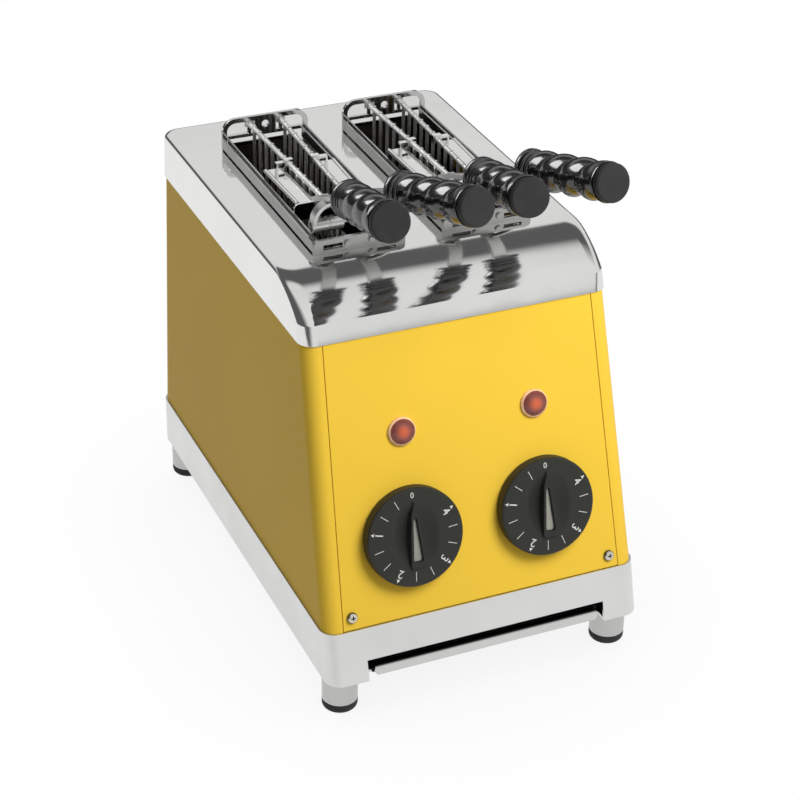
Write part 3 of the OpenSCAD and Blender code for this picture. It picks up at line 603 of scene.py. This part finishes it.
def top_cover():
    """Polished cover: an upright lip, a front that curves up to the flat top, and two slots."""
    corner_steps = 14
    curve_steps = 72
    slot_corner_steps = 8
    shape = bmesh.new()
    rows = []
    for z, front in cover_levels(curve_steps):
        step = edge_step(z)
        plan = rounded_plan(half_at(z) - step, front, REAR - step, CORNER_R - step / 2, corner_steps)
        rows.append([shape.verts.new((x, y, z)) for x, y in plan])
    for lower, upper in zip(rows, rows[1:]):
        bridge(shape, lower, upper)
    slot_front = SLOT_MID - SLOT_L / 2
    slot_rear = SLOT_MID + SLOT_L / 2
    slot_plan = rounded_plan(SLOT_HALF, slot_front, slot_rear, SLOT_R, slot_corner_steps)
    rims = [rows[-1]]
    for sign in SIDES.values():
        rims.append([shape.verts.new((x + sign * TONG_MID, y, Z_LID)) for x, y in slot_plan])
    edges = []
    for rim in rims:
        for i, vertex in enumerate(rim):
            pair = (vertex, rim[(i + 1) % len(rim)])
            edges.append(shape.edges.get(pair) or shape.edges.new(pair))
    bmesh.ops.triangle_fill(shape, edges=edges, use_beauty=True)
    mesh = to_mesh("cover_shell", shape)
    piece = add_piece("cover_shell", mesh, "mirror_steel", "body", replaced=["top_cover"])
    soften(piece, COVER_T)


def side_panel(side):
    """Painted side with its folds round onto the front and the back."""
    name = f"{side}_painted_side"
    sign = SIDES[side]
    corner_steps = 16
    radius = CORNER_R - BODY_INSET / 2
    rear = REAR - BODY_INSET
    shape = bmesh.new()
    rows = []
    for z in (Z_BODY, Z_PANEL_TOP):
        half = half_at(z) - BODY_INSET
        front = front_at(z) + BODY_INSET
        plan = rounded_plan(half, front, rear, radius, corner_steps)
        left_corners = plan[corner_steps + 1:3 * (corner_steps + 1)]
        path = [(-half + FOLD_W, rear), *left_corners, (-half + FOLD_W, front)]
        rows.append([shape.verts.new((-sign * x, y, z)) for x, y in path])
    bridge(shape, rows[0], rows[1], closed=False)
    mesh = to_mesh(name, shape)
    piece = add_piece(name, mesh, "gold_paint", "body", replaced=[f"{side}_side_panel"])
    flat_side = mesh.polygons[corner_steps + 1]
    if flat_side.normal.x * sign < 0:
        mesh.flip_normals()
    soften(piece, SHEET)


# Screws and lamps

def cross_cutter(place):
    """Two tapered blades, crossed, that reach down into a screw's head."""
    blade = 1.75 * MM
    slit = 0.42 * MM
    taper = 0.45
    above = 0.6 * MM
    below = 1.5 * MM
    top = SCREW_FOOT + SCREW_DOME
    shape = bmesh.new()
    for half_x, half_y in ((blade, slit), (slit, blade)):
        made = bmesh.ops.create_cube(shape, size=2)
        for vertex in made["verts"]:
            upper = vertex.co.z > 0
            share = 1 if upper else taper
            vertex.co.x *= half_x * share
            vertex.co.y *= half_y * share
            vertex.co.z = top + above if upper else top - below
    cutter = bpy.data.objects.new("cutter", to_mesh("cutter", shape, smooth=False))
    bpy.context.scene.collection.objects.link(cutter)
    cutter.matrix_world = place
    return cutter


def carve(piece, cutter):
    """Takes the cutter's space out of a piece's mesh, and removes the cutter."""
    cut = piece.modifiers.new("recess", "BOOLEAN")
    cut.object = cutter
    cut.operation = "DIFFERENCE"
    cut.use_self = True
    bpy.context.view_layer.update()
    carved = bpy.data.meshes.new_from_object(piece.evaluated_get(bpy.context.evaluated_depsgraph_get()))
    carved.name = piece.name
    piece.modifiers.clear()
    piece.data = carved
    bpy.data.objects.remove(cutter)


def cross_head(name, place, replaced, finish):
    """Pan head screw with a cross recess."""
    radius = SCREW_D / 2
    dome_steps = 8
    round_steps = 40
    profile = [(0, 0), (radius, 0), (radius, SCREW_FOOT)]
    for i in range(1, dome_steps + 1):
        turn = math.radians(90 * i / dome_steps)
        profile.append((radius * math.cos(turn), SCREW_FOOT + SCREW_DOME * math.sin(turn)))
    mesh = to_mesh(name, lathe(profile, round_steps))
    head = add_piece(name, mesh, "bright_steel", "body", place, replaced, finish)
    carve(head, cross_cutter(place))
    soften(head)


def screws():
    """Two screws low on the front panel and four on the back panel."""
    finish = screw_steel()
    for side, sign in SIDES.items():
        place = on_front(sign * SCREW_SIDE, SCREW_UP, 0)
        cross_head(f"{side}_front_screw", place, ["front_screws"], finish)
    low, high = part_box("back_screws")
    radius = SCREW_D / 2
    narrowing = half_at(Z_BODY + SCREW_UP) - half_at(Z_SKIRT - SCREW_UP)
    rows = (("lower", low.z + radius, 0), ("upper", high.z - radius, narrowing))
    for side, sign in SIDES.items():
        for row, z, inward in rows:
            x = sign * (high.x - radius - inward)
            place = frame_at((x, REAR - BODY_INSET, z), (-1, 0, 0), (0, 0, 1), (0, 1, 0))
            cross_head(f"{side}_{row}_back_screw", place, ["back_screws"], finish)


def lens(side):
    """Domed lens with rings pressed into it, which fade toward its middle."""
    name = f"{side}_lens"
    radius = LENS_D / 2
    wall = 1.6 * MM
    dome_r = 0.9 * LENS_D
    dome_foot = wall - math.sqrt(dome_r ** 2 - radius ** 2)
    dome_steps = 40
    round_steps = 64
    edge = 0.2 * MM
    edge_from = 0.8 * wall
    sunk = 0.1 * MM
    ring_depth = 0.09 * MM
    ring_pitch = 1.1 * MM
    rings_from = 2 * MM
    profile = [(0, 0), (radius, 0), (radius, edge_from), (radius - edge, wall)]
    for i in range(1, dome_steps):
        reach = (radius - edge) * (1 - i / dome_steps)
        ring = ring_depth * math.cos(2 * math.pi * reach / ring_pitch) * min(1, reach / rings_from)
        dome = dome_foot + math.sqrt(dome_r ** 2 - reach ** 2)
        profile.append((reach, dome + ring - sunk))
    profile.append((0, dome_foot + dome_r - sunk))
    place = on_front(SIDES[side] * LAMP_SIDE, LAMP_UP, LENS_FOOT)
    mesh = to_mesh(name, lathe(profile, round_steps))
    soften(add_piece(name, mesh, "lamp_lens", "body", place, ["lamp_lenses"]))


# Dials

# Outlines on a dial's face, from the top down: (distance above its middle, half width), in mm
RIDGE = [(20.5, 0), (13, 2.4), (0, 3.7), (-15, 4.8), (-17.5, 4.2)]
POCKET = [(10.9, 0.8), (-11.8, 2.6), (-12.9, 2.3), (-13.6, 1.6)]


def inside(outline, x, y):
    """How far a point lies inside an outline of half widths, in mm; below zero outside it."""
    top = outline[0][0]
    bottom = outline[-1][0]
    half = -1.0
    for (high, high_half), (low, low_half) in zip(outline, outline[1:]):
        if low <= y <= high:
            half = high_half + (low_half - high_half) * (high - y) / (high - low)
            break
    return min(half - abs(x), top - y, y - bottom)


def step_up(value, width):
    """Smooth step from 0 to 1 round zero."""
    share = min(1, max(0, value / (2 * width) + 0.5))
    return share * share * (3 - 2 * share)


def dial_height(x, y):
    """Height of a dial's front, in mm: a ridge between two finger hollows, and the pointer's pocket."""
    face = KNOB_RIM / MM
    ridge_wall = 0.3
    pocket_wall = 0.15
    pocket_floor = 5.4
    hollow_x = 3
    hollow_y = 1
    hollow_half_w = 10.7
    hollow_half_h = 18.5
    hollow_power = 1.25
    bowl = 1 - ((abs(x) - hollow_x) / hollow_half_w) ** 2 - ((y - hollow_y) / hollow_half_h) ** 2
    hollow = SCOOP / MM * max(0, bowl) ** hollow_power
    ridge = step_up(inside(RIDGE, x, y), ridge_wall)
    height = (face - hollow) * (1 - ridge) + KNOB_H / MM * ridge
    pocket = step_up(inside(POCKET, x, y), pocket_wall)
    return height * (1 - pocket) + pocket_floor * pocket


def dial(side):
    """Dial moulded in one piece, with a round skirt."""
    name = f"{side}_dial_skirt"
    columns = 192
    fine_rings = [0.3 + 0.4 * i for i in range(53)]
    coarse_rings = [21.9, 23, 24.2, 25.4]
    edge = KNOB_R / MM
    face = KNOB_RIM / MM
    skirt = [
        (edge - 1.7, face), (edge - 1.1, face - 0.07), (edge - 0.6, face - 0.3), (edge - 0.2, face - 0.7),
        (edge, face - 1.2), (edge, 0.6), (edge - 0.6, 0),
    ]
    turns = [2 * math.pi * i / columns for i in range(columns)]
    shape = bmesh.new()
    rows = []
    for radius in fine_rings + coarse_rings:
        ring = [(radius * math.cos(turn), radius * math.sin(turn)) for turn in turns]
        rows.append([shape.verts.new((x * MM, y * MM, dial_height(x, y) * MM)) for x, y in ring])
    for radius, height in skirt:
        ring = [(radius * math.cos(turn), radius * math.sin(turn)) for turn in turns]
        rows.append([shape.verts.new((x * MM, y * MM, height * MM)) for x, y in ring])
    stack(shape, rows)
    place = on_front(SIDES[side] * KNOB_SIDE, KNOB_UP, KNOB_GAP)
    mesh = to_mesh(name, shape)
    soften(add_piece(name, mesh, "dial_black", f"{side}_dial", place, [f"{side}_knob"]))


def number_mesh(number, size):
    """Flat mesh of a number, centred on the origin."""
    bold = 0.045 * MM
    text = bpy.data.curves.new("digit", "FONT")
    text.body = str(number)
    text.size = size
    text.offset = bold
    text.align_x = "CENTER"
    text.align_y = "CENTER"
    holder = bpy.data.objects.new("digit", text)
    mesh = bpy.data.meshes.new_from_object(holder)
    bpy.data.objects.remove(holder)
    return mesh


def dial_marks(side):
    """Printed scale: numbers 0 to 4 with two ticks between them, and points outside 1 to 4."""
    name = f"{side}_dial_marks"
    marks = 13
    marks_to_a_number = 3
    step = math.radians(25)
    tick_from = 19.4 * MM
    tick_to = 24.8 * MM
    tick_half = 0.21 * MM
    digit_r = 21.4 * MM
    digit_h = 6.6 * MM
    zero_r = 23.8 * MM
    zero_h = 4.4 * MM
    point_r = 24.7 * MM
    point_h = 2 * MM
    point_half = 1.05 * MM
    print_t = 0.05 * MM
    tick = [(-tick_half, tick_from), (tick_half, tick_from), (tick_half, tick_to), (-tick_half, tick_to)]
    point = [(-point_half, point_r), (point_half, point_r), (0, point_r + point_h)]
    shape = bmesh.new()
    for i in range(marks):
        turn = Matrix.Rotation(step * i, 4, "Z")
        outline = tick if i % marks_to_a_number else point
        if outline is point:
            digit = number_mesh(i // marks_to_a_number, digit_h if i else zero_h)
            digit.transform(turn @ Matrix.Translation((0, digit_r if i else zero_r, 0)))
            shape.from_mesh(digit)
        if i:
            shape.faces.new([shape.verts.new(turn @ Vector((x, y, 0))) for x, y in outline])
    made = bmesh.ops.extrude_face_region(shape, geom=shape.faces[:])
    raised = [item for item in made["geom"] if isinstance(item, bmesh.types.BMVert)]
    bmesh.ops.translate(shape, vec=(0, 0, print_t), verts=raised)
    place = on_front(SIDES[side] * KNOB_SIDE, KNOB_UP, KNOB_GAP + KNOB_RIM)
    mesh = to_mesh(name, shape, smooth=False)
    add_piece(name, mesh, "pointer_grey", f"{side}_dial", place, finish=PRINT)


# Grips

# Turned parts of a grip: (distance along it, radius), in mm
COLLAR = [(0, 9.4), (0.3, 10.3), (0.9, 10.8), (2.2, 10.8), (2.8, 10.4), (3, 9.9), (3.2, 8.7)]
NECK_RING = [(0, 8.7), (0.1, 9.4), (0.6, 10.1), (2.2, 10.1), (2.6, 9.4), (2.7, 8.7)]
NECK_RING_STARTS = (4.9, 9.5)
END_RIM = [(69.6, 8.3), (71, 9.2), (72.6, 10.6), (73.1, 10.8), (73.6, 10.6)]
NECK_RINGS = [(start + z, radius) for start in NECK_RING_STARTS for z, radius in NECK_RING]
GRIP_PROFILE = COLLAR + NECK_RINGS + END_RIM


def turned_radius(z):
    """Radius of the grip's turned parts at a distance along it."""
    for (z0, r0), (z1, r1) in zip(GRIP_PROFILE, GRIP_PROFILE[1:]):
        if z <= z1 * MM:
            return (r0 + (r1 - r0) * (z / MM - z0) / (z1 - z0)) * MM
    return GRIP_PROFILE[-1][1] * MM


def grip_shape():
    """Grip along Z: a left-handed spiral of round ridges and sharp grooves, between turned ends."""
    columns = 72
    row_step = 0.9 * MM
    sharpness = 0.85
    spiral_from = THREAD_FROM - 1.2 * MM
    spiral_to = THREAD_TO + 0.1 * MM
    pitch = (THREAD_TO - THREAD_FROM) / GRIP_TURNS
    thread_rows = int((THREAD_TO - THREAD_FROM) / row_step)
    levels = [z * MM for z, _ in GRIP_PROFILE]
    levels += [THREAD_FROM + (THREAD_TO - THREAD_FROM) * i / thread_rows for i in range(thread_rows + 1)]
    shape = bmesh.new()
    rows = []
    for z in sorted(set(levels)):
        in_spiral = spiral_from < z <= spiral_to
        row = []
        for i in range(columns):
            phase = 2 * math.pi * i / columns
            ridge = abs(math.cos(phase / 2)) ** sharpness
            thread = GRIP_R - GROOVE + GROOVE * ridge
            radius = max(turned_radius(z), thread if in_spiral else 0)
            turn = phase - 2 * math.pi * z / pitch
            row.append(shape.verts.new((radius * math.cos(turn), radius * math.sin(turn), z)))
        rows.append(row)
    stack(shape, rows)
    return shape


def grip(side, half):
    """Glossy grip on the end of a tong half's shank."""
    name = f"{side}_{half}_spiral_grip"
    tong_half = f"{side}_tong_{half}"
    hand = SIDES[side] * HALVES[half]
    hinge = pivot(f"{tong_half}_swing")
    origin = Vector((
        SIDES[side] * TONG_MID + hand * SHANK_END.x,
        hinge.y + SHANK_END.y,
        hinge.z + SHANK_END.z,
    ))
    reach = math.cos(GRIP_RISE)
    axis = Vector((
        hand * reach * math.sin(GRIP_SPLAY),
        -reach * math.cos(GRIP_SPLAY),
        math.sin(GRIP_RISE),
    ))
    x = Vector((0, 0, 1)).cross(axis).normalized()
    place = frame_at(origin, x, axis.cross(x), axis)
    mesh = to_mesh(name, grip_shape())
    piece = add_piece(name, mesh, "grip_black", f"{tong_half}_half", place, [f"{tong_half}_grip"])
    soften(piece)
    return piece


grips = []
top_cover()
for side_name in SIDES:
    side_panel(side_name)
    lens(side_name)
    dial(side_name)
    dial_marks(side_name)
    for half_name in HALVES:
        grips.append(grip(side_name, half_name))
screws()


# Stage, light and camera

def floor():
    """White table: it shows white to the camera, in gloss and in glass, with a soft shadow on it."""
    reach = 5
    segments = 4
    shadow_reach = 0.12
    shadow_level = 0.88
    lit_level = 0.34
    paint = Finish("table", (lit_level, lit_level, lit_level), 0.9, Specular_IOR_Level=0.1)
    white = paint.node("ShaderNodeEmission", Strength=1.0)
    shadow = paint.node("ShaderNodeAmbientOcclusion", Distance=shadow_reach)
    paint.join(paint.remap(shadow.outputs["AO"], shadow_level, 1), white.inputs["Color"])
    path = paint.node("ShaderNodeLightPath")
    seen = paint.total(path.outputs["Is Camera Ray"], path.outputs["Is Glossy Ray"])
    seen = paint.total(seen, path.outputs["Is Transmission Ray"])
    mix = paint.node("ShaderNodeMixShader")
    paint.join(seen, mix.inputs[0])
    paint.join(paint.shader.outputs["BSDF"], mix.inputs[1])
    paint.join(white.outputs["Emission"], mix.inputs[2])
    paint.join(mix.outputs["Shader"], paint.tree.nodes["Material Output"].inputs["Surface"])
    shape = bmesh.new()
    bmesh.ops.create_grid(shape, x_segments=segments, y_segments=segments, size=reach)
    table = bpy.data.objects.new("table", to_mesh("table", shape, smooth=False))
    table.data.materials.append(paint.material)
    bpy.context.scene.collection.objects.link(table)


def greys(levels):
    """Ramp stops from (place, level of grey) pairs."""
    return [(place, (level, level, level)) for place, level in levels]


def studio():
    """World: white to the camera, a soft fill, and walls that show in gloss.

    The front wall is lit above the horizon. The back wall is dark, with a lit strip and a lit top.
    The left is dark. Places on a wall run from 0, straight down, to 1, straight up.
    """
    fill = 0.31
    left_level = 0.12
    white = 1.0
    front_levels = ((0, 0.1), (0.49, 0.1), (0.51, 0.92), (1, 0.92))
    back_levels = (
        (0, 0.1), (0.66, 0.1), (0.685, 0.87), (0.805, 0.87), (0.825, 0.12), (0.93, 0.12), (0.955, 0.85))
    world = bpy.data.worlds.new("studio")
    bpy.context.scene.world = world
    sky = NodeTree(world)
    path = sky.node("ShaderNodeLightPath")
    coords = sky.node("ShaderNodeTexCoord")
    parts = sky.node("ShaderNodeSeparateXYZ")
    sky.join(coords.outputs["Generated"], parts.inputs["Vector"])
    height = sky.remap(parts.outputs["Z"], 0, 1, -1, 1)
    toward_back = sky.remap(parts.outputs["Y"], 0, 1, -0.2, 0.2)
    toward_left = sky.remap(parts.outputs["X"], 0, 1, -0.25, -0.6)
    seen = sky.total(path.outputs["Is Camera Ray"], path.outputs["Is Transmission Ray"])
    front = sky.ramp(height, greys(front_levels))
    back = sky.ramp(height, greys(back_levels))
    gloss = sky.blend(toward_left, sky.blend(toward_back, front, back), left_level)
    light = sky.blend(path.outputs["Is Glossy Ray"], fill, gloss)
    colour = sky.blend(seen, light, white)
    sky.join(colour, sky.tree.nodes["Background"].inputs["Color"])


def soft_box(name, at, target, width, height, power, shows_in=()):
    """Rectangular light: it lights all surfaces, or it only shows in the gloss of the pieces given."""
    light = bpy.data.lights.new(name, "AREA")
    light.shape = "RECTANGLE"
    light.size = width
    light.size_y = height
    light.energy = power
    lamp = bpy.data.objects.new(name, light)
    lamp.location = at
    lamp.rotation_mode = "QUATERNION"
    lamp.rotation_quaternion = (Vector(target) - Vector(at)).to_track_quat("-Z", "Y")
    lamp.visible_camera = False
    lamp.visible_glossy = bool(shows_in)
    lamp.visible_diffuse = not shows_in
    bpy.context.scene.collection.objects.link(lamp)
    if shows_in:
        receivers = bpy.data.collections.new(f"{name}_receivers")
        for piece in shows_in:
            receivers.objects.link(piece)
        lamp.light_linking.receiver_collection = receivers


def lights():
    """A key light from the front right, and a window that glints in the grips and the tongs' steel."""
    glinting = ("_grid", "_rails", "_wing", "_hinge_plate", "_cross_plate")
    tong_steel = [cad_node for cad_name, cad_node in nodes.items() if cad_name.endswith(glinting)]
    soft_box("key", at=(0.22, -0.5, 0.66), target=(0, -0.15, 0.13), width=0.4, height=0.4, power=5.6)
    soft_box(
        "window", at=(-0.66, 0.21, 1.08), target=(0, -0.12, 0.27), width=0.9, height=0.7, power=17,
        shows_in=grips + tong_steel)


def camera():
    """The photograph's viewpoint."""
    place = Vector((-0.4474, -1.0236, 0.7728))
    right = Vector((0.9172, -0.3981, 0.0164))
    forward = Vector((0.3492, 0.7836, -0.5138))
    data = bpy.data.cameras.new("camera")
    data.lens = 99.55
    data.sensor_width = 36
    made = bpy.data.objects.new("camera", data)
    made.matrix_world = frame_at(place, right, right.cross(forward), -forward)
    bpy.context.scene.collection.objects.link(made)
    bpy.context.scene.camera = made


floor()
studio()
lights()
camera()
bpy.context.scene.view_settings.view_transform = "Standard"
